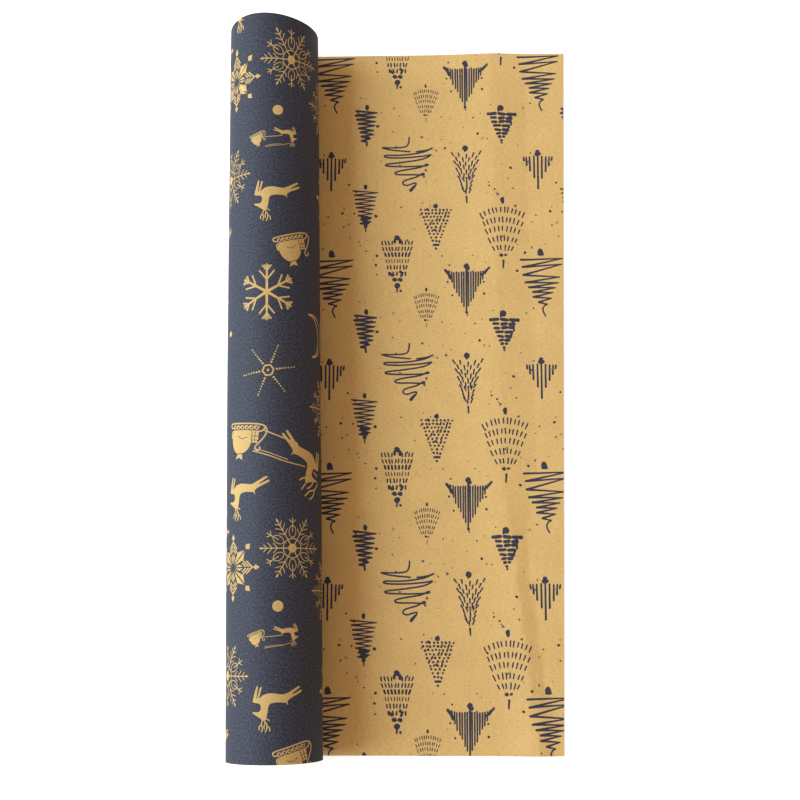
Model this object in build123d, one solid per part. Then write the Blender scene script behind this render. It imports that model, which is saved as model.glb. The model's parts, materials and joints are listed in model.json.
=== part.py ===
from build123d import *
from math import acos, atan2, degrees, hypot, pi, radians, sqrt, tan
import os

# Reversible gift wrapping paper on a wound paperboard core, lying on its side.
# Millimetres. The origin is the middle of the core's bore, +Y runs along the
# core, +Z is up, and the free sheet is pulled out flat towards +X.

# The web: one long sheet, printed on both sides.
WEB_WIDTH = 432.0
PAPER = 0.1
WEB_LENGTH = 10000.0

# The core: three plies wound in helices and glued into one tube.
CORE_BORE_R = 19.05
CORE_PLIES = (("core_inner_ply", 0.45), ("core_middle_ply", 0.40), ("core_outer_ply", 0.45))

# A pressed line of glue holds the start of the web on the core.
GLUE_THICK = 0.15
GLUE_LENGTH = 416.0
GLUE_ANGLE = 24.0

# The wound web, with the last turns loosened by handling.
ROLL_R = 27.2
LOOSE_TURNS = 3

# The free sheet. It leaves the underside of the roll, a little askew, and its
# cut end isn't quite square. Both lengths run from the roll's lowest line.
FREE_NEAR_TOP = 180.0
FREE_NEAR_BOTTOM = 165.0
ASKEW = 0.9

# The sheet bends in narrow strips, and winds back on to the roll as the flats
# of a polygon that clears it all the way round.
STRIPS = 14
WINDING_CLEARANCE = 3.0

turns_r = ROLL_R - LOOSE_TURNS * PAPER
floor_z = -ROLL_R
wrap_r = ROLL_R + WINDING_CLEARANCE
free_mean = (FREE_NEAR_TOP + FREE_NEAR_BOTTOM) / 2


def wrap_layout():
    """Give the first fold line's x and the width of one strip.

    The fold lines are the corners of a polygon around wrap_r, and the first
    of them lies on the flat stretch that leaves the roll.
    """
    rise = ROLL_R - PAPER
    width = free_mean / STRIPS
    for _ in range(40):
        corner_r = hypot(wrap_r, width / 2)
        first = sqrt(corner_r**2 - rise**2)
        width = (free_mean - first) / STRIPS
    return first, width


first_fold, strip_width = wrap_layout()
later_bend = 2 * degrees(atan2(strip_width / 2, wrap_r))
first_bend = degrees(atan2(first_fold, ROLL_R - PAPER)) + later_bend / 2


def tube(inner, outer, length=WEB_WIDTH):
    """A ring of paper or board along Y, centred on the origin."""
    ring = Plane.XZ * (Circle(outer) - Circle(inner))
    return extrude(ring, amount=length / 2, both=True)


def glue_line(inner):
    """The thin band of glue between the core and the web's first turn."""
    outer = inner + GLUE_THICK
    sector = Polyline(
        (0, 0),
        (2 * outer, 0),
        (2 * outer, 2 * outer * tan(radians(GLUE_ANGLE))),
        close=True,
    )
    band = Plane.XZ * ((Circle(outer) - Circle(inner)) & make_face(sector))
    return extrude(band, amount=GLUE_LENGTH / 2, both=True)


def outer_turns():
    """The loosened last turns, with the flat stretch that leaves the roll."""
    nip_x = sqrt(ROLL_R**2 - (ROLL_R - PAPER) ** 2)
    stretch = Polyline(
        (0, floor_z),
        (first_fold, floor_z),
        (first_fold, floor_z + PAPER),
        (nip_x, floor_z + PAPER),
    )
    turn = ThreePointArc((nip_x, floor_z + PAPER), (0, ROLL_R), (0, floor_z))
    outline = make_face(stretch + turn)
    return extrude(Plane.XZ * (outline - Circle(turns_r)), amount=WEB_WIDTH / 2, both=True)


def sheet_corner(x, side):
    """A point on the sheet's long edge, on the +Y side (1) or the -Y side (-1)."""
    return (x, side * WEB_WIDTH / 2 - (x - first_fold) * tan(radians(ASKEW)))


def sheet_strip(number):
    """One flat strip of the free sheet, counted from the roll outwards."""
    near = first_fold + (number - 1) * strip_width
    far_top = far_bottom = near + strip_width
    if number == STRIPS:
        far_top, far_bottom = FREE_NEAR_TOP, FREE_NEAR_BOTTOM
    outline = Polyline(
        sheet_corner(near, -1),
        sheet_corner(far_bottom, -1),
        sheet_corner(far_top, 1),
        sheet_corner(near, 1),
        close=True,
    )
    return extrude(Plane.XY.offset(floor_z) * make_face(outline), amount=PAPER)


def build():
    """Every node by name."""
    nodes = {}
    radius = CORE_BORE_R
    for name, thickness in CORE_PLIES:
        nodes[name] = tube(radius, radius + thickness)
        radius += thickness
    nodes["start_glue_line"] = glue_line(radius)
    nodes["wound_turns"] = tube(radius + GLUE_THICK, turns_r)
    nodes["outer_turns"] = outer_turns()
    for number in range(1, STRIPS + 1):
        nodes[f"sheet_strip_{number:02d}"] = sheet_strip(number)
    return nodes


def report():
    """Print the figures that the joints and the record take from this model."""
    start_r = CORE_BORE_R + sum(thickness for _, thickness in CORE_PLIES) + GLUE_THICK
    section = pi * (ROLL_R**2 - start_r**2)
    wound = WEB_LENGTH - free_mean
    print(f"first fold x {first_fold:.4f}, strip width {strip_width:.4f}")
    print(f"first bend {first_bend:.4f}, later bends {later_bend:.4f}")
    print(f"hinge z {floor_z + PAPER:.4f}, polygon corner r {hypot(wrap_r, strip_width / 2):.3f}")
    print(f"paper fills {wound * PAPER / section:.3f} of the winding")


os.makedirs("parts", exist_ok=True)
for node, solid in build().items():
    export_step(solid, f"parts/{node}.step")
report()
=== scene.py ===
import json
import math
import random

import bmesh
import bpy
import numpy as np
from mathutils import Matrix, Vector
from mathutils.geometry import delaunay_2d_cdt


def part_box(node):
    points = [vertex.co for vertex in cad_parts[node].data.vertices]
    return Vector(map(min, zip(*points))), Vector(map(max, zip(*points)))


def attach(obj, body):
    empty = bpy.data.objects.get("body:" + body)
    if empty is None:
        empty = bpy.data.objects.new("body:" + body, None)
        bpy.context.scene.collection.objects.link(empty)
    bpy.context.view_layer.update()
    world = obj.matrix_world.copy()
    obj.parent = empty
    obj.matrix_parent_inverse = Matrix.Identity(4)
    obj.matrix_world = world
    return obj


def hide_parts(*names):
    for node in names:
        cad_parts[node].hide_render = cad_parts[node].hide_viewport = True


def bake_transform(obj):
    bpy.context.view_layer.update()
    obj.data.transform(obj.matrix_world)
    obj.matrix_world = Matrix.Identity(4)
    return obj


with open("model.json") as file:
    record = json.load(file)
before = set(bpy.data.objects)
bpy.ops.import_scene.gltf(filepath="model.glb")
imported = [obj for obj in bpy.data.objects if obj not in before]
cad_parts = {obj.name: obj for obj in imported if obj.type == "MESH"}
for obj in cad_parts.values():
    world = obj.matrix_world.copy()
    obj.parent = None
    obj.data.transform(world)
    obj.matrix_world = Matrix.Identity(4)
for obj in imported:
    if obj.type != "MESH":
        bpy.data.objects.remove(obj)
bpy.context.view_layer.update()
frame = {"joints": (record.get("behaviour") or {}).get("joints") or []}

# ---------------------------------------- table and light
# The roll lies on a white table top under one large soft window to its left, with
# the rest of the room as a weak, even, warm fill. The table top glows a little, as
# a lit white sweep does, so that shadows on it stay faint.

MM = 0.001
roll_low, roll_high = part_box("outer_turns")
ROLL_R = roll_high.z / MM
WEB_WIDTH = (roll_high.y - roll_low.y) / MM
FLOOR_Z = -ROLL_R
TABLE_DROP = 0.3
TABLE_HALF = 3.0
TABLE_GLOW = 0.34
WHITE = (1.0, 1.0, 1.0)


def new_object(name, data):
    """A new object at the origin, which holds this mesh, light or camera."""
    obj = bpy.data.objects.new(name, data)
    bpy.context.scene.collection.objects.link(obj)
    return obj


def mesh_object(name, verts, faces):
    """A new object with this mesh."""
    mesh = bpy.data.meshes.new(name)
    mesh.from_pydata(verts, [], faces)
    return new_object(name, mesh)


def new_material(name, roughness):
    """A new material, its node tree and its shader's inputs."""
    material = bpy.data.materials.new(name)
    material.use_nodes = True
    shader = material.node_tree.nodes["Principled BSDF"].inputs
    shader["Roughness"].default_value = roughness
    return material, material.node_tree, shader


def join(source, target):
    """A link between two sockets of one tree."""
    target.id_data.links.new(source, target)


def add(tree, kind, **values):
    """A node with its properties set, and its named inputs set or joined."""
    made = tree.nodes.new(kind)
    for key, value in values.items():
        if hasattr(made, key) and key not in made.inputs:
            setattr(made, key, value)
        elif isinstance(value, bpy.types.NodeSocket):
            join(value, made.inputs[key])
        else:
            made.inputs[key].default_value = value
    return made


def calc(operation, *terms):
    """A Math node over sockets and numbers, and its result."""
    tree = next(term for term in terms if isinstance(term, bpy.types.NodeSocket)).id_data
    made = add(tree, "ShaderNodeMath", operation=operation)
    for socket, term in zip(made.inputs, terms):
        if isinstance(term, bpy.types.NodeSocket):
            join(term, socket)
        else:
            socket.default_value = term
    return made.outputs[0]


table_z = (FLOOR_Z - TABLE_DROP) * MM
corners = ((-1, -1), (1, -1), (1, 1), (-1, 1))
table_verts = [(x * TABLE_HALF, y * TABLE_HALF, table_z) for x, y in corners]
table = mesh_object("table", table_verts, [(0, 1, 2, 3)])
table_top, table_tree, table_shader = new_material("table_top", 0.6)
table_shader["Base Color"].default_value = (0.86, 0.86, 0.86, 1)
sight = table_tree.nodes.new("ShaderNodeLightPath").outputs["Is Camera Ray"]
join(calc("MULTIPLY", sight, TABLE_GLOW), table_shader["Emission Strength"])
table.data.materials.append(table_top)

light = bpy.data.lights.new("window", "AREA")
light.size = 1.35
light.energy = 41
light.color = (0.72, 0.9, 1)
window = new_object("window", light)
window.location = (-1.03, 0.1, 0.74)
toward_roll = Vector((0.05, 0, 0)) - window.location
window.rotation_euler = toward_roll.to_track_quat("-Z", "Y").to_euler()
bpy.context.scene.view_settings.view_transform = "Standard"
room = bpy.data.worlds.new("room")
bpy.context.scene.world = room
room.use_nodes = True
fill = room.node_tree.nodes["Background"].inputs
fill["Color"].default_value = (1, 0.77, 0.61, 1)
fill["Strength"].default_value = 0.72

# ---------------------------------------- camera
# It looks down on the table from a little below the roll's middle and to its right.

lens = bpy.data.cameras.new("camera")
lens.lens = 60.0
lens.sensor_width = 36.0
lens.clip_start = 0.01
camera = new_object("camera", lens)
camera.location = (0.09596, -0.14285, 0.77197)
camera.rotation_euler = [math.radians(a) for a in (9.623, 1.788, -0.888)]
bpy.context.scene.camera = camera

# ---------------------------------------- core plies
# The core is three strips of paperboard, each wound in a helix on a mandrel and
# glued over the one below. Each ply's turns butt together along a helical seam,
# and the middle ply runs the other way.

PLY_PITCH = 74.0
PLY_GAP = 0.5
PLY_SEGMENTS = 72
SEAM_OVERRUN = 1.5
WELD = 1e-6
PLIES = (
    ("core_inner_ply", 0.45, 1, 0.15),
    ("core_middle_ply", 0.4, -1, 0.45),
    ("core_outer_ply", 0.45, 1, 0.65),
)


def new_tree(name, inputs):
    """An empty geometry tree, its group input's sockets and its output."""
    tree = bpy.data.node_groups.new(name, "GeometryNodeTree")
    tree.interface.new_socket("Geometry", in_out="OUTPUT", socket_type="NodeSocketGeometry")
    for label in inputs:
        kind = "NodeSocketMaterial" if label.endswith("Material") else "NodeSocketFloat"
        tree.interface.new_socket(label, in_out="INPUT", socket_type=kind)
    given = tree.nodes.new("NodeGroupInput").outputs
    return tree, given, tree.nodes.new("NodeGroupOutput").inputs[0]


def grow(name, tree, values):
    """Run a geometry tree and keep its result as a plain mesh object."""
    seed_object = mesh_object(name + "_seed", [], [])
    modifier = seed_object.modifiers.new("grow", "NODES")
    modifier.node_group = tree
    for item in tree.interface.items_tree:
        if item.in_out == "INPUT":
            modifier[item.identifier] = values[item.name]
    bpy.context.view_layer.update()
    evaluated = seed_object.evaluated_get(bpy.context.evaluated_depsgraph_get())
    mesh = bpy.data.meshes.new_from_object(evaluated)
    seed_object.modifiers.remove(modifier)
    bpy.data.objects.remove(seed_object)
    shell = bmesh.new()
    shell.from_mesh(mesh)
    bmesh.ops.recalc_face_normals(shell, faces=shell.faces)
    shell.to_mesh(mesh)
    shell.free()
    return new_object(name, mesh)


def flat_strip(tree, length, width, columns):
    """A flat grid two points wide, with the X and the Y of its points."""
    sizes = {"Size X": length, "Size Y": width, "Vertices X": columns, "Vertices Y": 2}
    grid = add(tree, "GeometryNodeMeshGrid", **sizes)
    place = tree.nodes.new("GeometryNodeInputPosition").outputs[0]
    spot = add(tree, "ShaderNodeSeparateXYZ", Vector=place)
    return grid.outputs["Mesh"], spot.outputs["X"], spot.outputs["Y"]


def wrap_strip(strip, angle, radius, along):
    """The strip with its points set at an angle and radius about the Y axis."""
    across = calc("MULTIPLY", calc("SINE", angle), radius)
    up = calc("MULTIPLY", calc("COSINE", angle), radius)
    point = add(strip.id_data, "ShaderNodeCombineXYZ", X=across, Y=along, Z=up).outputs[0]
    wrap = add(strip.id_data, "GeometryNodeSetPosition", Geometry=strip, Position=point)
    return wrap.outputs[0]


def thicken(surface, thickness, material):
    """A closed skin of some thickness, from a surface wrapped round the Y axis."""
    tree = surface.id_data
    clean = add(tree, "GeometryNodeMergeByDistance", Geometry=surface, Distance=WELD).outputs[0]
    outward = add(tree, "ShaderNodeVectorMath", operation="MULTIPLY")
    outward.inputs[1].default_value = (1, 0, 1)
    join(tree.nodes.new("GeometryNodeInputPosition").outputs[0], outward.inputs[0])
    unit = add(tree, "ShaderNodeVectorMath", operation="NORMALIZE")
    join(outward.outputs[0], unit.inputs[0])
    raised = add(tree, "GeometryNodeExtrudeMesh", Mesh=clean, Offset=unit.outputs[0])
    raised.inputs["Individual"].default_value = False
    join(thickness, raised.inputs["Offset Scale"])
    flipped = add(tree, "GeometryNodeFlipFaces", Mesh=clean)
    both = tree.nodes.new("GeometryNodeJoinGeometry")
    for part in (raised, flipped):
        join(part.outputs[0], both.inputs[0])
    closed = add(tree, "GeometryNodeMergeByDistance", Geometry=both.outputs[0], Distance=WELD)
    real = add(tree, "GeometryNodeRealizeInstances", Geometry=closed.outputs[0])
    coat = add(tree, "GeometryNodeSetMaterial", Geometry=real.outputs[0], Material=material)
    return coat.outputs[0]


def ply_tree():
    """A strip of board wound in a helix: a flat grid wrapped on the bore, then thickened."""
    labels = ["Radius", "Thickness", "Length", "Pitch", "Gap", "Hand", "Phase", "Board Material"]
    tree, given, result = new_tree("core_ply", labels)
    turns = calc("ADD", calc("DIVIDE", given["Length"], given["Pitch"]), SEAM_OVERRUN)
    sweep = calc("MULTIPLY", turns, math.tau)
    width = calc("SUBTRACT", given["Pitch"], given["Gap"])
    strip, x, y = flat_strip(tree, sweep, width, calc("MULTIPLY", turns, PLY_SEGMENTS))
    climb = calc("DIVIDE", calc("MULTIPLY", x, given["Pitch"]), math.tau)
    half = calc("MULTIPLY", given["Length"], 0.5)
    along = calc("MINIMUM", calc("ADD", climb, y), half)
    along = calc("MAXIMUM", along, calc("MULTIPLY", half, -1))
    shifted = calc("ADD", x, calc("MULTIPLY", given["Phase"], math.tau))
    angle = calc("MULTIPLY", shifted, given["Hand"])
    wrapped = wrap_strip(strip, angle, given["Radius"], along)
    join(thicken(wrapped, given["Thickness"], given["Board Material"]), result)
    return tree


def noise(where, scale, detail, roughness=0.5):
    """A noise texture over coordinates stretched by a scale for each axis."""
    stretch = add(where.id_data, "ShaderNodeMapping", Scale=scale, Vector=where).outputs[0]
    values = {"Scale": 1.0, "Detail": detail, "Roughness": roughness, "Vector": stretch}
    return add(where.id_data, "ShaderNodeTexNoise", **values).outputs[0]


def ramp(source, stops):
    """A colour ramp over a 0-1 socket."""
    made = source.id_data.nodes.new("ShaderNodeValToRGB")
    while len(made.color_ramp.elements) < len(stops):
        made.color_ramp.elements.new(0.5)
    for element, (place, colour) in zip(made.color_ramp.elements, stops):
        element.position = place
        element.color = (*colour, 1)
    join(source, made.inputs[0])
    return made.outputs[0]


def blend_colours(how, first, second, factor=None):
    """A Mix node over two colour sockets, in full where there is no factor."""
    mix = add(first.id_data, "ShaderNodeMix", data_type="RGBA", blend_type=how)
    if factor is None:
        mix.inputs[0].default_value = 1.0
    else:
        join(factor, mix.inputs[0])
    join(first, mix.inputs[6])
    join(second, mix.inputs[7])
    return mix.outputs[2]


def emboss(shader, height, strength, depth):
    """Fine relief on a shader, from a height socket."""
    bump = add(height.id_data, "ShaderNodeBump", Strength=strength, Distance=depth, Height=height)
    join(bump.outputs[0], shader["Normal"])


def board_material():
    """Grey-brown recycled paperboard: long soft fibres, darker specks and a dull face."""
    material, tree, shader = new_material("core_board", 0.9)
    where = tree.nodes.new("ShaderNodeTexCoord").outputs["Object"]
    fibres = noise(where, (900, 160, 900), 5.0, 0.65)
    specks = noise(where, (1400, 1400, 1400), 2.0)
    tone = ramp(fibres, [(0.3, (0.25, 0.175, 0.11)), (0.72, (0.45, 0.345, 0.235))])
    speck = ramp(specks, [(0.3, (0.55, 0.5, 0.45)), (0.4, WHITE)])
    join(blend_colours("MULTIPLY", tone, speck), shader["Base Color"])
    emboss(shader, fibres, 0.35, 0.00008)
    return material


board = board_material()
plies = ply_tree()
for node, thickness, hand, phase in PLIES:
    low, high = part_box(node)
    ply = grow(
        "board_" + node,
        plies,
        {
            "Radius": high.x - thickness * MM,
            "Thickness": thickness * MM,
            "Length": high.y - low.y,
            "Pitch": PLY_PITCH * MM,
            "Gap": PLY_GAP * MM,
            "Hand": float(hand),
            "Phase": phase,
            "Board Material": board,
        },
    )
    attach(ply, "roll")
    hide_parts(node)

# ---------------------------------------- glue line
# A thin bead of white glue, brushed along the core to catch the start of the web.
# It sits between the outer ply and the first turn, and dries cloudy and off-white.

glue, glue_tree, glue_shader = new_material("dry_glue", 0.35)
glue_where = glue_tree.nodes.new("ShaderNodeTexCoord").outputs["Object"]
glue_cloud = noise(glue_where, (260, 260, 260), 3.0)
glue_tone = ramp(glue_cloud, [(0, (0.62, 0.54, 0.38)), (1, (0.86, 0.82, 0.7))])
join(glue_tone, glue_shader["Base Color"])
glue_bead = bpy.data.objects["start_glue_line"]
glue_bead.data.materials.clear()
glue_bead.data.materials.append(glue)

# ---------------------------------------- shape of the web
# The whole roll is one web of thin kraft paper, wound on the core at the mill. A
# point of it is known by its distance along the web from the line where the roll
# meets the table, and its distance across from the middle.

PAPER = 0.1
SKEW = math.tan(math.radians(0.9))
hinge_x = [joint["pos_m"][0] / MM for joint in frame["joints"]]
FIRST_FOLD = min(hinge_x)
STRIP = (max(hinge_x) - FIRST_FOLD) / (len(hinge_x) - 1)
CORE_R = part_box("core_outer_ply")[1].z / MM
END_TOP = 180.0
END_BOTTOM = 165.0
CREST_U = 135.0
CREST_LEAN = 0.106
CROWN = 1.9
BULGE = 0.6
RUN_OUT = 5.6


def slope(value, low, high):
    """0 below low, 1 above high, and a smooth rise between."""
    t = np.clip((value - low) / (high - low), 0, 1)
    return t * t * (3 - 2 * t)


def hill(distance, width):
    """A round bump, 1 where the distance is 0."""
    return np.exp(-((distance / width) ** 2))


def lift(u, v):
    """How far the free sheet stands off the table, in mm: waves, a crest and one corner."""
    leave = slope(u, 8, 40)
    swell = 0.18 + 0.1 * np.sin(u / 11.5 + 0.0035 * v + 0.4) + 0.05 * np.sin(u / 6.3 - 0.009 * v)
    crest = CREST_U + CREST_LEAN * np.maximum(-v - 60, 0)
    beyond = u - crest
    near = slope(-v, 30, 110)
    rise, drop = 24 - 10 * near, 20 - 12 * near
    crown = CROWN * np.where(beyond < 0, hill(beyond, rise), np.clip(1 - beyond / drop, 0, 1))
    corner = 0.9 * slope(-v, 207, 216) * hill(u - 30, 4)
    return leave * (swell + crown) + corner


def looseness(v):
    """How much slacker the roll is wound toward its near end, in mm of radius."""
    return -0.1 - 0.0014 * v


def run_out(turn, v):
    """How far the wound edge stands out past the square end, in mm."""
    return RUN_OUT * hill(turn - 2.7, 1.25) * slope(v, 186, 216)


def bulge(turn, v):
    """How far the slack outer turn stands off the winding at mid-length, in mm."""
    return BULGE * hill(turn - 1.75, 0.6) * np.clip(1 - (v / 210) ** 2, 0, 1)


def web_point(u, v):
    """The printed face of the web, in mm."""
    turn = np.maximum(-u, 0) / ROLL_R
    slack = looseness(v)
    ripple = 0.08 + 0.05 * np.sin(u / 9.0 + v / 31) + 0.03 * np.sin(v / 17 - u / 21)
    ripple = ripple * slope(-u, 4, 30) * slope(u, -168, -140)
    radius = ROLL_R + slack + ripple + bulge(turn, v) - PAPER * turn / math.tau
    flat = np.maximum(u, 0)
    x = np.where(u < 0, -radius * np.sin(turn), flat)
    z = np.where(u < 0, slack - radius * np.cos(turn), FLOOR_Z + lift(u, v))
    y = v - SKEW * np.maximum(flat - FIRST_FOLD, 0) + run_out(turn, v)
    return np.stack([x, y, z], axis=-1)


def web_faces(u, v):
    """Both faces of the web and the way that the kraft face looks, in mm."""
    step = 0.05
    along = web_point(u + step, v) - web_point(u - step, v)
    across = web_point(u, v + step) - web_point(u, v - step)
    normal = np.cross(along, across)
    normal /= np.linalg.norm(normal, axis=1, keepdims=True)
    print_face = web_point(u, v)
    return print_face, print_face + PAPER * normal, normal


# ---------------------------------------- paper finishes
# Unbleached kraft paper, about 80 grams to the square metre, with fine ribs. One
# face carries navy drawings and the other a solid navy flood with pale figures.

GRAIN = (
    ((420, 1500, 1), 5.0),
    ((45, 60, 1), 3.0),
    ((1700, 2100, 1), 2.0),
    ((900, 40, 1), 2.0),
    ((820, 950, 1), 3.0),
)
PAPER_ROUGHNESS = 0.82
EDGE_ROUGHNESS = 0.9
FLOOD_ROUGHNESS = 0.7


def kraft_colour(grain):
    """Bare kraft: warm tan with darker fibres, pale flecks and faint clouds."""
    fibre, cloud, fleck, rib, mottle = grain
    body = ramp(fibre, [(0.28, (0.5, 0.324, 0.115)), (0.72, (0.668, 0.451, 0.176))])
    for layer in (
        ramp(cloud, [(0.3, (0.93, 0.92, 0.9)), (0.7, WHITE)]),
        ramp(fleck, [(0.27, (0.6, 0.55, 0.48)), (0.36, WHITE)]),
        ramp(mottle, [(0.3, (0.95, 0.94, 0.93)), (0.5, WHITE)]),
        ramp(rib, [(0.35, (0.97, 0.965, 0.96)), (0.65, WHITE)]),
    ):
        body = blend_colours("MULTIPLY", body, layer)
    return body


def paper_material(name, ink=None, pale=None, wear=None, roughness=PAPER_ROUGHNESS, gloss=0.4):
    """Kraft paper, bare or under an ink that is pale in the mottle and worn at the flecks."""
    material, tree, shader = new_material(name, roughness)
    where = tree.nodes.new("ShaderNodeUVMap")
    where.uv_map = "web"
    grain = [noise(where.outputs[0], scale, detail, 0.6) for scale, detail in GRAIN]
    fibre, _, fleck, rib, mottle = grain
    colour = kraft_colour(grain)
    if ink:
        tint = ramp(mottle, [(0.36, ink), (0.66, pale)])
        cover = ramp(fleck, [(wear[0], (0.0, 0.0, 0.0)), (wear[1], WHITE)])
        colour = blend_colours("MIX", colour, tint, cover)
    join(colour, shader["Base Color"])
    shader["Specular IOR Level"].default_value = gloss
    emboss(shader, calc("ADD", fibre, calc("MULTIPLY", rib, 0.8)), 0.25, 0.00006)
    return material


KRAFT, NAVY_INK, GREY_INK, FAINT_INK, FLOOD, EDGE, FIGURE = range(7)
FLOOD_INKS = ((0.0085, 0.0085, 0.016), (0.038, 0.041, 0.062), (0.15, 0.22))
paper_finishes = [
    paper_material("bare_kraft"),
    paper_material("navy_ink", (0.017, 0.018, 0.036), (0.034, 0.035, 0.06), (0.22, 0.3)),
    paper_material("grey_ink", (0.07, 0.065, 0.085), (0.11, 0.1, 0.11), (0.26, 0.38)),
    paper_material("faint_ink", (0.24, 0.155, 0.1), (0.32, 0.2, 0.13), (0.3, 0.5)),
    paper_material("navy_flood", *FLOOD_INKS, FLOOD_ROUGHNESS, 0.3),
    paper_material("paper_edge", roughness=EDGE_ROUGHNESS),
    paper_material("figure_kraft", (0.375, 0.238, 0.08), (0.455, 0.292, 0.102), (0.1, 0.2)),
]

# ---------------------------------------- wound turns
# The rest of the ten metres is wound tight on the core, about 66 turns of paper a
# tenth of a millimetre thick. The turns wander a little at the ends, where the
# edge of the web shows as fine rings.

TURN_SEGMENTS = 90
EDGE_WANDER = 0.35
OUTER_TURN_LENGTH = 176.0
WINDING_FILL = 0.8
CORE_CLEARANCE = 0.02


def spiral_tree():
    """A ribbon of paper on an Archimedean spiral, from the core out to the last turn."""
    labels = ["Outer Radius", "Inner Radius", "Pitch", "Thickness", "Width", "Start Angle"]
    labels += ["Segments", "Wander", "Paper Material"]
    tree, given, result = new_tree("wound_web", labels)
    depth = calc("SUBTRACT", given["Outer Radius"], given["Inner Radius"])
    last = calc("MULTIPLY", calc("DIVIDE", depth, given["Pitch"]), math.tau)
    sweep = calc("SUBTRACT", last, given["Start Angle"])
    columns = calc("MULTIPLY", calc("DIVIDE", sweep, math.tau), given["Segments"])
    strip, x, y = flat_strip(tree, sweep, 2.0, columns)
    turn = calc("ADD", calc("ADD", x, calc("MULTIPLY", sweep, 0.5)), given["Start Angle"])
    drop = calc("DIVIDE", calc("MULTIPLY", turn, given["Pitch"]), math.tau)
    radius = calc("SUBTRACT", given["Outer Radius"], drop)
    values = {"noise_dimensions": "1D", "Scale": 0.11, "Detail": 2.0, "W": turn}
    wobble = add(tree, "ShaderNodeTexNoise", **values).outputs[0]
    shift = calc("MULTIPLY", calc("SUBTRACT", wobble, 0.5), given["Wander"])
    along = calc("ADD", calc("MULTIPLY", y, calc("MULTIPLY", given["Width"], 0.5)), shift)
    wrapped = wrap_strip(strip, calc("ADD", turn, math.pi), radius, along)
    join(thicken(wrapped, given["Thickness"], given["Paper Material"]), result)
    return tree


wound = grow(
    "wound_web",
    spiral_tree(),
    {
        "Outer Radius": (ROLL_R - PAPER) * MM,
        "Inner Radius": (CORE_R + CORE_CLEARANCE) * MM,
        "Pitch": PAPER * MM,
        "Thickness": PAPER * WINDING_FILL * MM,
        "Width": (WEB_WIDTH - 2 * EDGE_WANDER) * MM,
        "Start Angle": OUTER_TURN_LENGTH / ROLL_R,
        "Segments": float(TURN_SEGMENTS),
        "Wander": 2 * EDGE_WANDER * MM,
        "Paper Material": paper_finishes[EDGE],
    },
)
slack_points = np.empty(len(wound.data.vertices) * 3)
wound.data.vertices.foreach_get("co", slack_points)
slack_points = slack_points.reshape(-1, 3)
reach = np.hypot(slack_points[:, 0], slack_points[:, 2])
share = (reach / MM - CORE_R) / (ROLL_R - CORE_R)
give = looseness(slack_points[:, 1] / MM) * share * MM
slack_points[:, [0, 2]] *= (1 + give / reach)[:, None]
slack_points[:, 2] += give
sides = np.arctan2(-slack_points[:, 0], -slack_points[:, 2]) % math.tau
slack_points[:, 1] += run_out(sides, slack_points[:, 1] / MM) * np.clip(share, 0, 1) ** 3 * MM
wound.data.vertices.foreach_set("co", slack_points.ravel())
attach(wound, "roll")
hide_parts("wound_turns")

# ---------------------------------------- drawings on the kraft face
# Brush-pen fir trees and spattered dots, printed in navy by a flexo press. Twelve
# trees make one repeat of the plate, and they stand upside down beside the roll.

REPEAT_U = 129.19
REPEAT_V = 132.49
PRESS_LEAN = 0.0158
SPATTER_DOTS = 118


def capsule(start, end, first, last):
    """The outline round a pen stroke between two points, with a radius at each."""
    heading = math.atan2(end[1] - start[1], end[0] - start[0])
    corners = []
    for centre, radius, turn in ((end, last, -90), (start, first, 90)):
        for step in (0, 60, 120, 180):
            angle = heading + math.radians(turn + step)
            place = (centre[0] + radius * math.cos(angle), centre[1] + radius * math.sin(angle))
            corners.append(place)
    return corners


def line(points, pen, swell=1.0):
    """A run of pen strokes. swell is how much heavier the pen is on every other one."""
    marks = []
    for index, (start, end) in enumerate(zip(points, points[1:])):
        first, last = (pen * 0.85, pen * swell) if index % 2 else (pen * swell, pen * 0.85)
        if swell == 1.0:
            first = last = pen
        marks.append(capsule(start, end, first / 2, last / 2))
    return marks


def smooth(points, steps=3, closed=False):
    """The same path with its corners rounded, through every point."""
    if closed:
        path = [points[-1], *points, points[0], points[1]]
    else:
        path = [points[0], *points, points[-1]]
    made = []
    for p, q, r, t in zip(path, path[1:], path[2:], path[3:]):
        for step in range(steps):
            k = step / steps
            weights = (
                -0.5 * k + k * k - 0.5 * k**3,
                1 - 2.5 * k * k + 1.5 * k**3,
                0.5 * k + 2 * k * k - 1.5 * k**3,
                -0.5 * k * k + 0.5 * k**3,
            )
            made.append(tuple(sum(w * c[i] for w, c in zip(weights, (p, q, r, t))) for i in (0, 1)))
    return made if closed else [*made, points[-1]]


def blob(centre, width, height, rng=None, corners=9):
    """A rounded spot, a little out of true when rng is given."""
    spin = rng.random() * math.tau if rng else 0
    shape = []
    for index in range(corners):
        angle = spin + math.tau * index / corners
        wild = rng.uniform(0.82, 1.12) if rng else 1
        across = centre[0] + wild * width / 2 * math.cos(angle)
        shape.append((across, centre[1] + wild * height / 2 * math.sin(angle)))
    return shape


def sweeps(rng, count, top, bottom, wide, narrow, pen, tail):
    """A tree of ever shorter pen sweeps from side to side, ending in a tip."""
    points = []
    for index in range(count + 1):
        t = index / count
        side = 1 if index % 2 else -1
        half = wide + (narrow - wide) * t ** 1.15 + rng.uniform(-0.6, 0.6)
        points.append((side * half, top + (bottom - top) * t + rng.uniform(-0.25, 0.25)))
    marks = line(points, pen, 1.35)
    marks += line([points[-1], (rng.uniform(-0.3, 0.3), bottom - 0.6), (0.1, tail)], pen * 1.1)
    return marks


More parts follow.
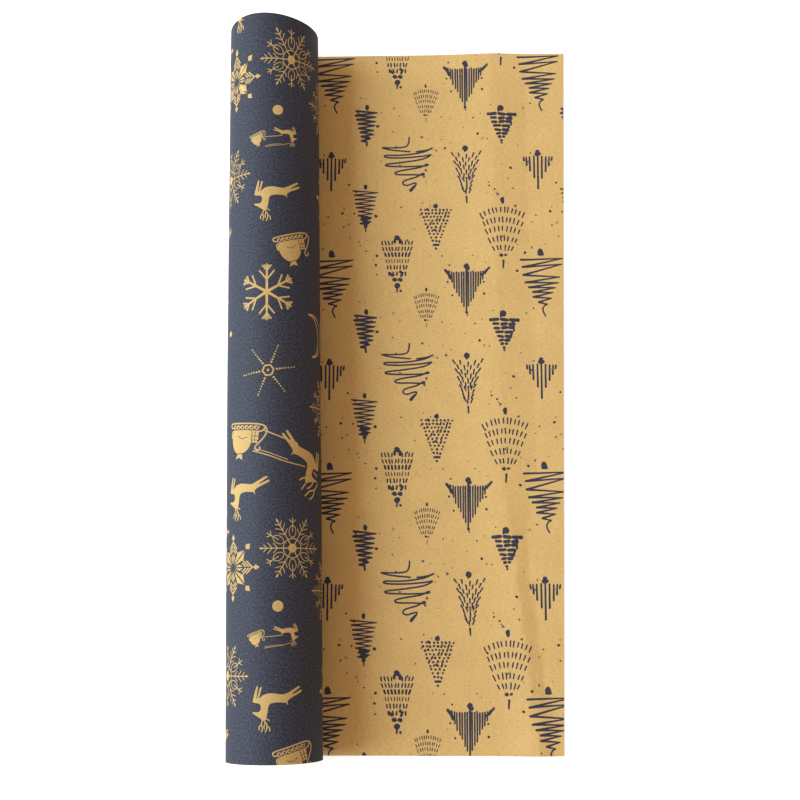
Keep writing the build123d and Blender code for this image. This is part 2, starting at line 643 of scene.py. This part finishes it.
def big_zigzag(rng):
    left = [(-12.6, 14.2), (-11.5, 9.6), (-11.1, 4.6), (-9.8, -0.1)]
    left += [(-7.7, -3.2), (-5.2, -6.2), (-5.1, -9.3), (-1.8, -12.6)]
    right = [(13.2, 15), (12.6, 11.3), (11.2, 3.2), (10.4, -0.4)]
    right += [(8.6, -3.5), (6.9, -6.6), (6.0, -10.2), (2.6, -13.8)]
    points = [spot for pair in zip(left, right) for spot in pair]
    marks = line(points, 0.95, 1.45)
    marks += line(smooth([(2.6, -13.8), (0.9, -16.1), (0.8, -18.2), (2.2, -21.2)]), 1.0)
    return marks + [blob((-0.4, 19.4), 3.8, 4.8, rng), blob((-0.2, 17.8), 4.8, 2.2, rng)]


def small_zigzag(rng):
    marks = sweeps(rng, 14, 8, -11.8, 7, 2.7, 1.15, -15)
    marks += [blob((0.1, -9.6), 3.4, 2.4, rng), blob((7.0, -2.2), 2.3, 1.9, rng)]
    return marks + [blob((0.3, 10.3), 2.6, 4.2, rng)]


def dense_zigzag(rng):
    marks = sweeps(rng, 16, 7.8, -13.4, 7.6, 3.0, 0.8, -18.4)
    marks += [blob((0.1, -9.6), 7.0, 3.2, rng), blob((0.2, -12.6), 5.0, 4.0, rng)]
    marks += [blob((0, -15), 2.8, 3.2, rng)]
    marks += [blob((6.4, -8.6), 2.3, 2.1, rng), blob((-5.8, 7.6), 2.0, 1.7, rng)]
    return marks + [blob((-0.2, 10.5), 2.7, 4.0, rng)]


def scribble(rng):
    first = [(1.0, 15.6), (0.7, 11.9), (-1.3, 9.3), (-8.5, 8.7), (-15.9, 8.8), (-9.5, 7.2)]
    first += [(1.5, 6.1)]
    turns = [(5.5, 6.0), (12, 6.9), (15.4, 8.3), (9.5, 5.6), (-2.5, 3.9), (-13.6, 3.8)]
    turns += [(-12.9, 2.4), (-2.5, 2.1), (9.5, 3.0), (14.6, 3.8), (9.5, 1.1), (-2.5, -0.8)]
    turns += [(-12.8, -2.0), (-11.9, -3.3), (0.5, -3.7), (12, -3.2), (12, -2.3), (7.5, -4.4)]
    turns += [(-2.5, -6), (-7.6, -7.5), (-5.9, -8.9), (2.5, -9), (9.8, -9.3), (9.6, -8.2)]
    turns += [(5.5, -10.6), (-1.5, -12.7), (-2.9, -14.8), (-0.5, -16), (3.0, -14.9)]
    turns += [(5.3, -14.6), (4.7, -16.6), (2.0, -19.5)]
    marks = line(smooth(first), 1.0) + line(smooth(turns), 1.05)
    return marks + [capsule((4.4, -16.4), (2.0, -19.2), 0.7, 1.1)]


def sprig(rng):
    marks = [blob((-0.6, 16.4), 3.6, 4.8, rng), capsule((0, -15), (0.2, -19), 0.65, 0.5)]
    for row in range(10):
        half = 9.2 - 0.7 * row
        spread = (-1, -0.5, 0, 0.5, 1) if row % 2 == 0 else (-0.76, -0.26, 0.26, 0.76)
        for across in spread if row < 7 else (-0.85, 0, 0.85):
            a = across * half + rng.uniform(-0.3, 0.3)
            b = 12.6 - 2.6 * row + rng.uniform(-0.4, 0.4) + 1.2 * abs(across)
            lean = math.radians(32 * across + rng.uniform(-7, 7))
            long = rng.uniform(2.3, 3.1)
            end = (a - long * math.sin(lean), b - long * math.cos(lean))
            marks.append(capsule((a, b), end, 0.56, 0.42))
    return marks


def dotted_tree(rng):
    marks = [blob((0, 13), 3.2, 3.6, rng), blob((-3.6, 12.9), 0.9, 0.9, rng, 7)]
    for row in range(10):
        b = 10.7 - 2.25 * row
        half = 9.2 - 0.78 * row
        count = max(3, round(2 * half / 1.95))
        for index in range(count):
            a = -half + 2 * half * index / (count - 1) + rng.uniform(-0.25, 0.25)
            size = rng.uniform(1.45, 1.95)
            if rng.random() < 0.84:
                marks.append(blob((a, b + rng.uniform(-0.3, 0.3)), size, size, rng, 7))
            else:
                marks.append(capsule((a, b - 0.6), (a + 0.6, b + 0.8), 0.6, 0.6))
    marks.append(capsule((-1.5, -11.9), (1.6, -11.9), 0.75, 0.75))
    return marks + [blob((0, -14.3), 1.6, 1.6, rng)]


def fan(rng, size=1.0, pen=0.85):
    marks = [blob((0, 16), 2.8, 5, rng)]
    rows = [(9.9, 13.2, 12), (3.5, 11.8, 11), (-2.3, 10.2, 9), (-8.7, 8.0, 8), (-14.5, 5.8, 6)]
    for b, half, count in rows:
        for index in range(count):
            a = half * (2 * index / (count - 1) - 1) + rng.uniform(-0.3, 0.3)
            lean = math.radians(27 * a / half + rng.uniform(-4, 4))
            middle = b - 0.02 * a * a
            long = rng.uniform(1.2, 1.7)
            step = (long * math.sin(lean), long * math.cos(lean))
            ends = ((a - step[0], middle - step[1]), (a + step[0], middle + step[1]))
            marks.append(capsule(*ends, pen * 0.5 / size, pen * 0.58 / size))
    marks += [blob((-1.1, -19.4), 2.8, 2.6, rng), blob((1.6, -19.2), 2.2, 1.8, rng, 7)]
    marks.append(capsule((0.3, -22.6), (0, -27.4), pen * 0.8, pen * 0.6))
    return [[(x * size, y * size) for x, y in mark] for mark in marks]


def small_fan(rng):
    return fan(rng, 0.55, 0.55)


def dashes(rng):
    marks = [blob((0, 16), 4.2, 3.6, rng), blob((-1.6, 13.8), 1.7, 3.4, rng)]
    marks.append(blob((1.9, 13.8), 2.4, 3.6, rng))
    rows = [(12.8, 9.2, 10, 0.48), (9.0, 8.6, 10, 0.48), (5.3, 7.4, 8, 0.66)]
    rows += [(1.2, 6.8, 9, 0.34), (-2.8, 5.8, 7, 0.5), (-6.9, 4.9, 5, 0.56)]
    for order, (b, half, count, pen) in enumerate(rows):
        for index in range(count):
            a = -half + 2 * half * index / (count - 1)
            if order == 0 and abs(a) < 2:
                continue
            long = rng.uniform(0.85, 1.15)
            lean = 0.03 * a + rng.uniform(-0.2, 0.2)
            a += rng.uniform(-0.2, 0.2)
            shift = lean * long
            marks.append(capsule((a + shift, b + long), (a - shift, b - long), pen, pen))
    marks.append(capsule((-4.6, -6.2), (-3.0, -8.2), 0.7, 0.8))
    marks.append(capsule((3.4, -6.2), (2.4, -8.4), 0.7, 0.8))
    marks += [blob((-1.6, -10.6), 3.2, 3.0, rng), blob((1.8, -10.7), 3.4, 2.8, rng)]
    return marks + [blob((0, -14.4), 4.1, 4.0, rng), capsule((0, -16), (-0.2, -18.4), 0.6, 0.5)]


def bricks(rng):
    curl = [(-2.0, 7.4), (-1.9, 10.2), (-0.3, 11.0), (1.0, 9.6), (0.2, 8.0), (-1.2, 8.4)]
    marks = [blob((-0.4, 9.6), 2.6, 3.2, rng)] + line(smooth(curl), 1.1)
    rows = [(5.6, 8.3), (3.0, 7.2), (0.5, 6.6), (-2.2, 5.8)]
    rows += [(-4.8, 4.9), (-7.2, 3.9), (-9.4, 2.6), (-11.8, 1)]
    for b, half in rows:
        count = 3 if half > 6 else 2 if half > 2 else 1
        wide = 2 * half / count
        for index in range(count):
            a = -half + wide * (index + 0.5) + rng.uniform(-0.2, 0.2)
            half_brick = max(wide / 2 - 1.0, 0.2)
            start = (a - half_brick, b + rng.uniform(-0.3, 0.3))
            pen = rng.uniform(0.85, 1.1)
            marks.append(capsule(start, (a + half_brick, b + rng.uniform(-0.3, 0.3)), pen, pen))
    marks += [blob((-8.3, 5.6), 2.2, 2.4, rng), blob((8.5, 5.4), 2.6, 2.6, rng)]
    marks.append(capsule((5.6, 4.4), (6.0, -1.4), 0.9, 0.6))
    return marks + [capsule((4.8, -2.6), (2.6, -7.4), 0.7, 0.6), blob((0, -13.4), 1.5, 1.5, rng)]


def stripes(rng):
    marks = [blob((0, 14.2), 3.6, 3.6, rng), blob((1.2, 12.6), 2.6, 2.4, rng)]
    for index in range(-8, 9):
        a = 1.5 * index + rng.uniform(-0.15, 0.15)
        top = 10.4 + 0.9 * slope(abs(a), 8, 12.5) + rng.uniform(-0.3, 0.3)
        bottom = -14.4 + abs(a) * 2.0 + rng.uniform(-0.8, 0.8)
        bottom = min(bottom, top - 1.2)
        marks.append(capsule((a, top), (a * 0.97, bottom), rng.uniform(0.48, 0.6), 0.5))
    marks += line([(-12.8, 11.8), (-10.8, 9.4), (-9.6, 6.6)], 1.9)
    marks += line([(14.2, 12.9), (12.2, 10.6), (9.6, 8.4)], 1.5)
    return marks + [blob((0.1, -15), 1.9, 2.8, rng), capsule((0.2, 12), (0.1, -13), 0.7, 0.55)]


def comb(rng):
    marks = [blob((0, 8.9), 4.8, 3.4, rng), blob((0, 10.6), 3.0, 2.6, rng)]
    marks.append(blob((-4.6, 9.6), 1.1, 1.1, rng, 7))
    lines = [(0, 8, -13.6), (-2.4, 7.4, -6.5), (2.5, 7.2, -6.8), (-5.1, 7, -2), (5.0, 6.8, -2.4)]
    lines += [(-7.2, 6.8, 1.6), (7.1, 6.8, 1.2), (-8.9, 6.8, 4.6), (8.9, 6.8, 4.8)]
    for a, top, bottom in lines:
        marks.append(capsule((a, top), (a * 0.96, bottom), 0.55, 0.64))
    return marks


TREES = [
    (stripes, 114.0, 195.7),
    (small_zigzag, 52.2, 171.2),
    (dense_zigzag, 51.8, 118.7),
    (scribble, 77.9, 145.9),
    (sprig, 114.6, 137.1),
    (dotted_tree, 95.5, 103.2),
    (fan, 136.8, 103.3),
    (dashes, 71.5, 80.0),
    (bricks, 136.9, 170.1),
    (small_fan, 89.4, 186.6),
    (comb, 30.1, 140.7),
    (big_zigzag, 31.0, 67.0),
]


def plate_marks():
    """One repeat of the printing plate: outlines, with the ink of each."""
    marks = []
    rng = random.Random(29)
    for _ in range(SPATTER_DOTS):
        size = rng.choice((0.7, 0.8, 1.0, 1.2, 1.4, 1.9))
        ink = rng.choice((NAVY_INK, NAVY_INK, NAVY_INK, GREY_INK, GREY_INK, FAINT_INK))
        spot = (rng.uniform(0, REPEAT_U), rng.uniform(0, REPEAT_V))
        marks.append((blob(spot, size, size, rng, 7), ink))
    for tree, u, v in TREES:
        rng = random.Random(tree.__name__)
        for shape in tree(rng):
            marks.append(([(u + a, v + b) for a, b in shape], NAVY_INK))
    return marks


def across_web(marks, repeat_u, repeat_v, lean):
    """Step and repeat the plate over the whole free sheet and the outer turn."""
    placed = []
    for row in range(-4, 5):
        for column in range(-3, 3):
            for shape, ink in marks:
                moved = [(a + column * repeat_u, b + row * repeat_v) for a, b in shape]
                moved = [(a + lean * b, b) for a, b in moved]
                across = [b for a, b in moved]
                if min(across) < WEB_WIDTH / 2 and max(across) > -WEB_WIDTH / 2:
                    placed.append((moved, ink))
    return placed


tree_marks = across_web(plate_marks(), REPEAT_U, REPEAT_V, PRESS_LEAN)

# ---------------------------------------- figures in the navy flood
# The other face is flooded navy, all but its winter figures, where kraft shows under
# a thin haze of ink: snowflakes, moons, leaping deer and sleighs loaded with gifts.

FIGURE_REPEAT_U = 129.0
FIGURE_REPEAT_V = 290.0
DEER = [(-8.4, 5.0), (-7.4, 3.6), (-6.2, 3.3), (-2.5, 3.0), (1.3, 3.6), (2.5, 5.2), (3.0, 8.2)]
DEER += [(3.7, 11.2), (4.6, 12.7), (5.8, 12.4), (7.2, 11.4), (9.6, 9.9), (11.5, 8.8), (11.1, 8.1)]
DEER += [(8.4, 8.2), (7.1, 7.3), (6.7, 5.6), (7.3, 3.8), (9.0, 3.4), (11.2, 2.9), (11.4, 1.9)]
DEER += [(9.4, -5.2), (8.4, -5.5), (9.3, 1.1), (7.6, 0.8), (5.4, -1.0), (1.7, -1.9), (-2.5, -1.5)]
DEER += [(-6.0, -1.2), (-10.0, -3.0), (-14.4, -5.4), (-15.2, -4.6), (-10.9, -1.7), (-11.2, -1.2)]
DEER += [(-15.7, -3.3), (-16.3, -2.3), (-10.8, 0.4), (-8.6, 1.8), (-7.9, 3.0)]
DEER_LEG = [(8.6, 1.6), (7.6, -1.8), (6.8, -4.8)]
DEER_ANTLERS = [
    [(5.0, 12.4), (3.6, 14.4), (3.3, 16.6), (4.2, 18.8)],
    [(5.6, 12.2), (6.4, 14.4), (5.8, 16.6), (6.2, 18.6)],
    [(3.4, 15.4), (1.9, 16.6), (1.8, 18.2)],
    [(6.3, 14.6), (7.6, 16.0), (7.6, 17.6)],
    [(4.2, 13.6), (4.9, 15.6), (4.8, 17.0)],
    [(3.8, 11.6), (2.2, 12.6)],
]
SACK = [(-8.8, -1.0), (-10.0, 3.0), (-8.6, 7.6), (-5.0, 10.6), (-0.6, 9.8), (2.6, 6.8), (3.4, 2.4)]
SACK += [(2.6, -1.0)]
KNOT = [(-4.6, 10.0), (-6.4, 13.4), (-3.8, 12.4), (-1.2, 13.6), (-2.0, 10.0)]
GIFT = [(3.5, -1.0), (7.2, -1.0), (7.2, 3.2), (3.5, 3.2)]
RIBBON = [[(5.3, -0.9), (5.3, 3.4)], [(3.7, 1.3), (7.1, 1.3)]]
RUNNER = [(-9.6, -2.6), (-11.1, -2.9), (-11.6, -4.2), (-10.2, -5.0), (-2, -5.1), (7.2, -4.9)]
RUNNER += [(10.2, -3.8), (11.4, -1.8), (10.3, 1.2), (8.0, 4.2), (6.2, 6.2), (5.9, 7.6), (7.0, 8.6)]
RUNNER += [(8.5, 7.8), (8.2, 6.7)]
RAIL = [(-10.6, 2.4), (-10.6, 0.2), (-9.2, -1.2), (0, -1.3), (7.4, -1.2), (9.6, -2.2), (10.6, -3.8)]


def turned(points, angle):
    """These points turned about the origin, in degrees."""
    c, s = math.cos(math.radians(angle)), math.sin(math.radians(angle))
    return [(x * c - y * s, x * s + y * c) for x, y in points]


def bare(shapes):
    """Shapes where the flood is left out."""
    return [(shape, FIGURE) for shape in shapes]


def navy(shapes):
    """Shapes inked again on top of a bare figure."""
    return [(shape, FLOOD) for shape in shapes]


def deer_body():
    return bare([smooth(DEER, 2, closed=True)] + line(DEER_LEG, 1.0))


def antlers(pen=0.6):
    marks = []
    for antler in DEER_ANTLERS:
        marks += bare(line(smooth(antler, 2), pen))
    return marks


def wide_antlers():
    return antlers(0.4)


def deer():
    return deer_body() + antlers()


def sleigh():
    bow = [blob((4.5, 4.1), 1.7, 1.4), blob((6.1, 4.1), 1.7, 1.4)]
    marks = bare([smooth(SACK, 3, closed=True), KNOT, GIFT, *bow])
    marks += bare(line(smooth(RUNNER), 0.75) + line(smooth(RAIL), 0.7))
    for a in (-8.4, -5.6, -2.8, 0, 2.8, 5.6):
        marks += bare([blob((a, -3.1), 2.3, 2.3)])
        marks += navy([blob((a + 0.2, -3.0), 1.2, 1.2, None, 7)])
        marks += bare(line([(a + 0.9, -2.2), (a + 1.9, -3.9)], 0.45))
    for tie in ([(-5.1, 10.5), (-1.7, 10.3)], [(3.4, -0.9), (3.5, 3.4)]):
        marks += navy(line(tie, 0.4))
    for crease in (*RIBBON, smooth([(-5.4, 1.4), (-2.6, 2.8), (0.8, 1.8)])):
        marks += navy(line(crease, 0.35))
    return marks


def reins():
    """Two thin traces from the sleigh's front to the deer."""
    upper = smooth([(0, 0), (7, 2.6), (14, 5.0), (20.5, 6.8)])
    lower = smooth([(-5.6, 12), (4, 14.6), (14, 17.8), (26, 19.6)])
    marks = bare(line(upper, 0.7) + line(lower, 0.6))
    return marks + bare(line([(x + 0.6, y - 1.4) for x, y in lower[:-3]], 0.45))


def star_flake():
    """Four broad split petals and four short ones with chevrons and pointed studs."""
    marks = []
    for arm in range(8):
        even = arm % 2 == 0
        half, tip = (2.1, 8.4) if even else (3.8, 13)
        petal = [(0.8, 0), (tip * 0.56, -half), (tip, 0), (tip * 0.56, half)]
        marks += bare([turned(petal, 45 * arm)])
        for step in (10.0, 11.9, 13.8) if even else ():
            for side in (-1, 1):
                wing = turned([(step, 0), (step - 3.4, side * 3.3)], 45 * arm)
                marks += bare([capsule(wing[0], wing[1], 0.46, 0.36)])
        near, wide = (14.2, 1.4) if even else (13.8, 1.7)
        stud = [(near, 0), (near + 1.6, -wide), (near + 4.0, 0), (near + 1.6, wide)]
        marks += bare([turned(stud, 45 * arm)])
    for arm in range(8):
        marks += navy([capsule((0.2, 0), turned([(12.4, 0)], 45 * arm)[0], 0.36, 0.34)])
        marks += navy([capsule((0.2, 0), turned([(8, 0)], 45 * arm + 22.5)[0], 0.36, 0.62)])
    return marks


def lacy_flake():
    """Six fern arms and six finer ones, joined by a ring round a round eye."""
    marks = bare([blob((0, 0), 5.0, 5.0, None, 16)])
    ring = [turned([(5.4, 0)], 15 * step)[0] for step in range(25)]
    marks += bare(line(ring, 0.5))
    loop = [(9.4 + 3.3 * math.cos(t), 2.1 * math.sin(t)) for t in np.linspace(0, math.tau, 15)]
    for arm in range(12):
        fern = arm % 2 == 0
        stem = (5.4, 17.6) if fern else (9.4, 16.8)
        twigs = ((8.6, 3.6), (11.6, 4.0), (14.6, 2.7)) if fern else ((14.2, 2.6),)
        marks += bare(line(turned([(stem[0], 0), (stem[1], 0)], 30 * arm), 0.5))
        for place, long in twigs:
            for side in (-1, 1):
                tip = (place + long * 0.66, side * long * 0.75)
                marks += bare(line(turned([(place, 0), tip], 30 * arm), 0.42))
        if fern:
            leaf = turned([(16.6, 0), (17.6, -0.7), (19.2, 0), (17.6, 0.7)], 30 * arm)
            marks += bare([leaf] + line(turned([(2.2, 0), (5.4, 0)], 30 * arm), 0.6))
        else:
            marks += bare(line(turned(loop, 30 * arm), 0.42))
    return marks


def plain_flake():
    """Six sturdy arms from one middle, each with two pairs of twigs and a split tip."""
    marks = []
    for arm in range(6):
        turn = 60 * arm + 30
        marks += bare([capsule((0, 0), turned([(16.6, 0)], turn)[0], 0.85, 0.45)])
        for place, long, pen in ((7.4, 7.0, 0.95), (12.6, 4.2, 0.85), (14.2, 2.4, 0.7)):
            for side in (-1, 1):
                tip = (place + long * 0.75, side * long * 0.62)
                marks += bare(line(turned([(place, 0), tip], turn), pen))
    return marks


def dotted_flake():
    """A small six-sided ring with a row of dots running out from each corner."""
    ring = [turned([(3.3, 0)], 60 * arm)[0] for arm in range(7)]
    marks = bare(line(ring, 0.85) + [blob((0, 0), 1.5, 1.5)])
    for arm in range(6):
        for index in range(6):
            spot = turned([(5.2 + 1.65 * index, 0)], 60 * arm)[0]
            size = 1.35 - 0.11 * index
            marks += bare([blob(spot, size, size, None, 7)])
        marks += bare(line(turned([(14.6, 0), (15.8, 0)], 60 * arm), 0.5))
    return marks


def moon():
    return bare([blob((0, 0), 6.2, 6.2, None, 22)])


def crescent():
    """A crescent drawn in outline."""
    sweep = np.linspace(-math.pi / 2, math.pi / 2, 13)
    inner = [(8.6 * math.cos(t), 12.2 * math.sin(t)) for t in sweep]
    outer = [(13 * math.cos(t), 12.8 * math.sin(t)) for t in sweep]
    return bare(line(inner, 0.75) + line(outer, 0.75))


FIGURES = [
    (lacy_flake, -99.1, 191.5),
    (lacy_flake, -54.6, 121.5),
    (lacy_flake, -131.5, 168.0),
    (lacy_flake, -130.5, -16.9),
    (star_flake, -61.4, 181.2, 1, 1.05, 0),
    (star_flake, -138.6, 112.0),
    (moon, -90.6, 159.5),
    (sleigh, -78.6, 143.4, -1, 0.44, -20),
    (deer, -96.4, 146.6, -1, 0.5, -6),
    (reins, -83.4, 142.8, -1, 0.46, -24),
    (deer, -88.0, 110.4),
    (sleigh, -100.4, 79.0, -1, 1.02, -16),
    (plain_flake, -84.2, 48.9),
    (dotted_flake, -85.0, 2.8, 1, 1, 8),
    (crescent, -112.8, 25.0, -1, 1, -8),
    (sleigh, -71.6, -33.0, -1, 1.12, 5),
    (deer_body, -109.2, -45.0, -1, 1.18, 25),
    (wide_antlers, -137.3, -37.5, -1, 2.2, 62),
    (reins, -82.2, -31.6, -1, 1, 2),
    (deer, -69.4, -63.4),
    (moon, -56.6, 27.2, 1, 0.55, 0),
    (lacy_flake, -33.0, 48.0),
    (moon, -22.0, 76.0),
    (deer, -40.0, 86.0, 1, 1, 4),
    (deer, -27.0, 146.0, 1, 0.6, 0),
    (sleigh, -38.0, -3.0, -1, 0.46, -8),
    (deer, -22.6, -5.6, -1, 0.55, -8),
    (moon, -40.0, 18.0),
    (dotted_flake, -36.0, -38.0),
    (deer, -12.0, -62.0, 1, 1, 4),
    (star_flake, -38.0, -88.0),
    (moon, -13.0, -90.0, 1, 0.7, 0),
    (moon, -42.0, -114.0),
]


def figure_marks():
    """One repeat of the figures. They lie upside down, and some face the other way."""
    marks = []
    for figure, u, v, *pose in FIGURES:
        facing, size, tilt = pose or (1, 1, 0)
        for shape, ink in figure():
            placed = [(u + facing * size * x, v - size * y) for x, y in turned(shape, tilt)]
            marks.append((placed, ink))
    return marks


print_marks = across_web(figure_marks(), FIGURE_REPEAT_U, FIGURE_REPEAT_V, 0.0)

# ---------------------------------------- cutting the web along its print
# A piece of the web is one closed sheet, a tenth of a millimetre thick. Each face is
# divided along the edges of its print, so that the ink's outline is exact.

ACROSS_STEP = 6.0
LARGEST_MARK = 40.0


def inside(shape, spots):
    """Which of these points lie inside an outline."""
    held = np.zeros(len(spots), dtype=bool)
    for (ax, ay), (bx, by) in zip(shape, shape[1:] + shape[:1]):
        if ay != by:
            crosses = (ay > spots[:, 1]) != (by > spots[:, 1])
            held ^= crosses & (spots[:, 0] < ax + (spots[:, 1] - ay) * (bx - ax) / (by - ay))
    return held


def near_marks(marks, low, high):
    """The marks that come inside a stretch of the web."""
    return [m for m in marks if max(a for a, b in m[0]) > low and min(a for a, b in m[0]) < high]


def web_piece(name, outline, spots, drawn, printed):
    """A closed piece of the web: kraft face above, printed face below, and its rim."""
    points = [Vector(p) for p in outline]
    edges = [(i, (i + 1) % len(outline)) for i in range(len(outline))]
    for shape, _ in drawn + printed:
        first = len(points)
        points.extend(Vector(corner) for corner in shape)
        edges.extend((first + i, first + (i + 1) % len(shape)) for i in range(len(shape)))
    points.extend(Vector(spot) for spot in spots)
    places, _, found, _, _, _ = delaunay_2d_cdt(points, edges, [], 0, 1e-5, False)
    flat = np.array([tuple(p) for p in places])
    found = np.array(found)
    found = found[inside(outline, flat[found].mean(axis=1))]
    used, found = np.unique(found, return_inverse=True)
    found = found.reshape(-1, 3)
    flat = flat[used]
    count = len(used)
    below, above, normal = web_faces(flat[:, 0], flat[:, 1])
    middles = flat[found].mean(axis=1)
    order = np.argsort(middles[:, 0])
    sorted_u = middles[order, 0]
    coats = [np.full(len(found), KRAFT), np.full(len(found), FLOOD)]
    for coat, marks in zip(coats, (drawn, printed)):
        for shape, ink in marks:
            first = np.searchsorted(sorted_u, min(a for a, b in shape))
            last = np.searchsorted(sorted_u, max(a for a, b in shape))
            near = order[first:last]
            near = near[abs(middles[near, 1] - shape[0][1]) < LARGEST_MARK]
            coat[near[inside(shape, middles[near])]] = ink
    finishes = [*coats[0].tolist(), *coats[1].tolist()]
    top = found.tolist()
    bottom = (found[:, ::-1] + count).tolist()
    border = {}
    for tri in top:
        for start, end in zip(tri, tri[1:] + tri[:1]):
            if (end, start) in border:
                del border[(end, start)]
            else:
                border[(start, end)] = True
    rim = [[start, start + count, end + count, end] for start, end in border]
    finishes += [EDGE] * len(rim)
    verts = np.concatenate([above, below]) * MM
    obj = mesh_object(name, verts.tolist(), top + bottom + rim)
    mesh = obj.data
    for material in paper_finishes:
        mesh.materials.append(material)
    mesh.polygons.foreach_set("material_index", finishes)
    mesh.polygons.foreach_set("use_smooth", [True] * len(mesh.polygons))
    corner_vertex = np.empty(len(mesh.loops), dtype=np.int32)
    mesh.loops.foreach_get("vertex_index", corner_vertex)
    web_map = mesh.uv_layers.new(name="web")
    web_map.data.foreach_set("uv", (flat[corner_vertex % count] * MM).astype(np.float32).ravel())
    looks = np.concatenate([normal, -normal])[corner_vertex]
    for polygon in mesh.polygons[len(top) + len(bottom):]:
        looks[polygon.loop_start : polygon.loop_start + 4] = polygon.normal
    mesh.normals_split_custom_set(looks.tolist())
    return obj


def rulings(low, high, steps):
    """Rows of points across the web between two lines."""
    rows = round(WEB_WIDTH / ACROSS_STEP)
    made = []
    for column in range(steps + 1):
        for row in range(rows + 1):
            u = low + (high - low) * column / steps
            made.append((u, WEB_WIDTH * (row / rows - 0.5)))
    return made


# ---------------------------------------- outer turn
# The last turn of the web lies on the roll with its navy face outward. It runs down
# the back of the roll to the line where the paper meets the table.

SHEET_START = 2.0
OUTER_COLUMNS = 89
HALF_WIDTH = WEB_WIDTH / 2
outer_low = -OUTER_TURN_LENGTH
outer_outline = [(outer_low, -HALF_WIDTH), (SHEET_START, -HALF_WIDTH)]
outer_outline += [(SHEET_START, HALF_WIDTH), (outer_low, HALF_WIDTH)]
outer_turn = web_piece(
    "outer_turn",
    outer_outline,
    rulings(outer_low, SHEET_START, OUTER_COLUMNS),
    [],
    near_marks(print_marks, outer_low, SHEET_START),
)
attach(outer_turn, "roll")
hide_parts("outer_turns")

# ---------------------------------------- free sheet
# The unrolled end of the web lies on the table with its drawings up. It is one
# sheet, made in pieces over the fourteen strips that bend one after another to wind
# it up, and each piece here reaches from the middle of one strip to the middle of the next.

STRIPS = len(hinge_x)
BENDS = 5
END_MARGIN = 0.8


def free_end(v):
    """How far along the web its cut end is, on a slant across."""
    return END_BOTTOM + (END_TOP - END_BOTTOM) * (v / WEB_WIDTH + 0.5)


for strip in range(1, STRIPS + 1):
    start = SHEET_START if strip == 1 else FIRST_FOLD + (strip - 1.5) * STRIP
    middle = FIRST_FOLD + (strip - 0.5) * STRIP
    stop = END_TOP if strip == STRIPS else middle
    outline = [(start, -HALF_WIDTH), (stop, -HALF_WIDTH), (stop, HALF_WIDTH), (start, HALF_WIDTH)]
    spots = rulings(start, stop, round((stop - start) / STRIP * BENDS))
    if strip == STRIPS:
        outline[1] = (free_end(-HALF_WIDTH), -HALF_WIDTH)
        outline[2] = (free_end(HALF_WIDTH), HALF_WIDTH)
        spots = [(u, v) for u, v in spots if u < free_end(v) - END_MARGIN]
        spots += [(free_end(v), v) for u, v in rulings(0, 0, 1)]
    piece = web_piece(
        f"free_sheet_{strip:02d}",
        outline,
        spots,
        near_marks(tree_marks, start, stop),
        near_marks(print_marks, start, stop),
    )
    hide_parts(f"sheet_strip_{strip:02d}")
    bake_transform(piece)
